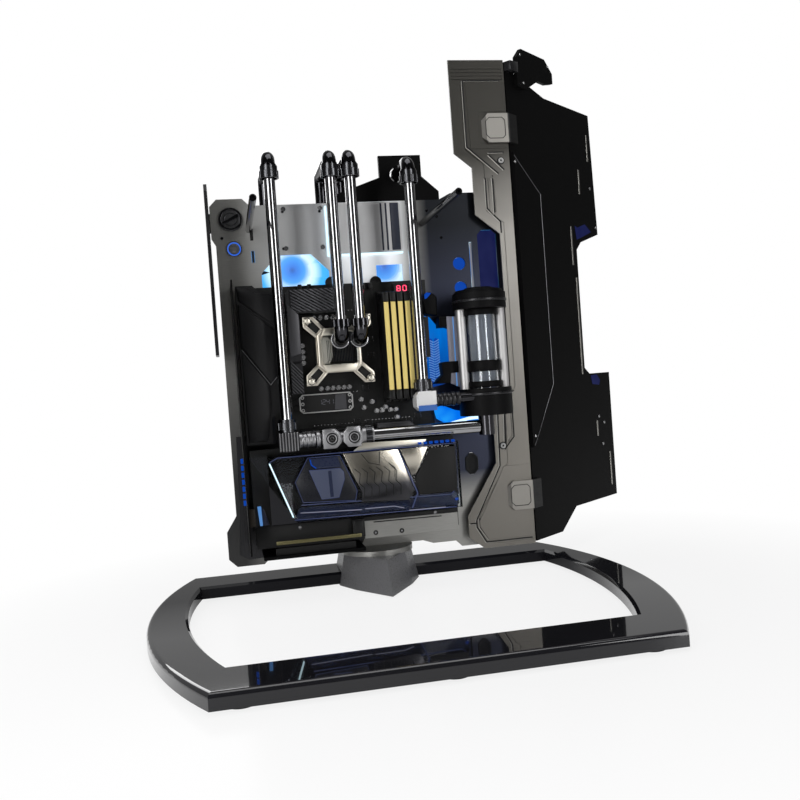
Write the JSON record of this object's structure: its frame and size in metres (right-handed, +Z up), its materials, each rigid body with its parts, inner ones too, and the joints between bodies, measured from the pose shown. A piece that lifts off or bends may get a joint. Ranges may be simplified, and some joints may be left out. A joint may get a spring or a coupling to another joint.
{
  "type": "open-frame computer",
  "caption": "Open-frame water-cooled computer: an upright plate with boards, tubes, fans and a tall angled tower on a ring-shaped stand.",
  "frame": {"origin": "on the floor, under the middle of the whole object", "axes": "+Z up, the boards face -Y, +X towards the tower"},
  "size_m": [0.6815, 0.569, 0.694],
  "materials": {
    "gloss_black": "high gloss black paint",
    "foot_rubber": "matt rubber",
    "plate_metal": "brushed gunmetal anodised",
    "tower_grey": "satin titanium grey",
    "panel_black": "fine-textured matt black powder coat",
    "blade_black": "satin black anodised",
    "badge_metal": "dark satin",
    "bezel_metal": "bright",
    "button_metal": "fine brushed",
    "light_acrylic": "backlit satin acrylic",
    "screw_steel": "zinc",
    "board_green": "black solder mask",
    "shroud_black": "matt moulded plastic",
    "sink_metal": "dark anodised",
    "socket_plastic": "moulded",
    "memory_gold": "satin gold anodised",
    "nickel": "nickel plate",
    "clear_acrylic": "polished clear acrylic",
    "black_chrome": "black chrome",
    "collar_metal": "polished",
    "tube_chrome": "mirror chrome",
    "fitting_white": "gloss white",
    "tank_metal": "black anodised",
    "column_metal": "satin silver",
    "radiator_black": "black paint",
    "fan_plastic": "moulded",
    "rotor_plastic": "translucent milky",
    "supply_case": "black powder coat"
  },
  "bodies": {
    "frame": {"badge": "badge_metal", "base_feet": "foot_rubber", "base_ring": "gloss_black", "board_sockets": "socket_plastic", "button_bezel": "bezel_metal", "cpu_block_base": "nickel", "cpu_block_cover": "clear_acrylic", "cpu_bracket": "nickel", "cross_tube": "tube_chrome", "display_cover": "shroud_black", "fan_frame_1": "fan_plastic", "fan_frame_2": "fan_plastic", "fan_frame_3": "fan_plastic", "gpu_block": "nickel", "gpu_board": "board_green", "gpu_cover": "clear_acrylic", "gpu_terminal": "black_chrome", "gpu_tube": "tube_chrome", "inlet_tube": "tube_chrome", "io_panel": "panel_black", "io_shroud": "shroud_black", "light_panel": "light_acrylic", "loop_elbows": "black_chrome", "main_plate": "plate_metal", "memory_module_1": "memory_gold", "memory_module_2": "memory_gold", "memory_module_3": "memory_gold", "memory_module_4": "memory_gold", "motherboard": "board_green", "mount_boss": "plate_metal", "outlet_tube": "tube_chrome", "pedestal": "gloss_black", "power_supply": "supply_case", "pump": "tank_metal", "radiator": "radiator_black", "rear_top_bracket": "panel_black", "reservoir_cap": "tank_metal", "reservoir_columns": "column_metal", "reservoir_fitting": "fitting_white", "reservoir_glass": "clear_acrylic", "reservoir_tube": "tube_chrome", "riser_shelf": "panel_black", "screws": "screw_steel", "side_blade": "blade_black", "side_fittings": "black_chrome", "standoff_rods": "blade_black", "top_hook_bracket": "panel_black", "tower_clips": "tower_grey", "tower_cover": "tower_grey", "tower_mounts": "panel_black", "tower_rib": "panel_black", "tower_side_panel": "panel_black", "tube_collars": "collar_metal", "vrm_heatsinks": "sink_metal"},
    "fan_rotor_1": {"fan_rotor_1": "rotor_plastic"},
    "fan_rotor_2": {"fan_rotor_2": "rotor_plastic"},
    "fan_rotor_3": {"fan_rotor_3": "rotor_plastic"},
    "power_button": {"power_button": "button_metal"}
  },
  "joints": [
    {"name": "fan_1_spin", "type": "hinge", "parent": "frame", "child": "fan_rotor_1", "pos_m": [-0.14475, 0.1495, 0.41], "axis": [0, -1, 0], "continuous": true},
    {"name": "fan_2_spin", "type": "hinge", "parent": "frame", "child": "fan_rotor_2", "pos_m": [-0.02475, 0.1495, 0.41], "axis": [0, -1, 0], "continuous": true},
    {"name": "fan_3_spin", "type": "hinge", "parent": "frame", "child": "fan_rotor_3", "pos_m": [0.09525, 0.1495, 0.41], "axis": [0, -1, 0], "continuous": true},
    {"name": "power_press", "type": "slide", "parent": "frame", "child": "power_button", "axis": [0, 1, 0], "range_m": [0, 0.0012], "stiffness_N_per_m": 600}
  ]
}
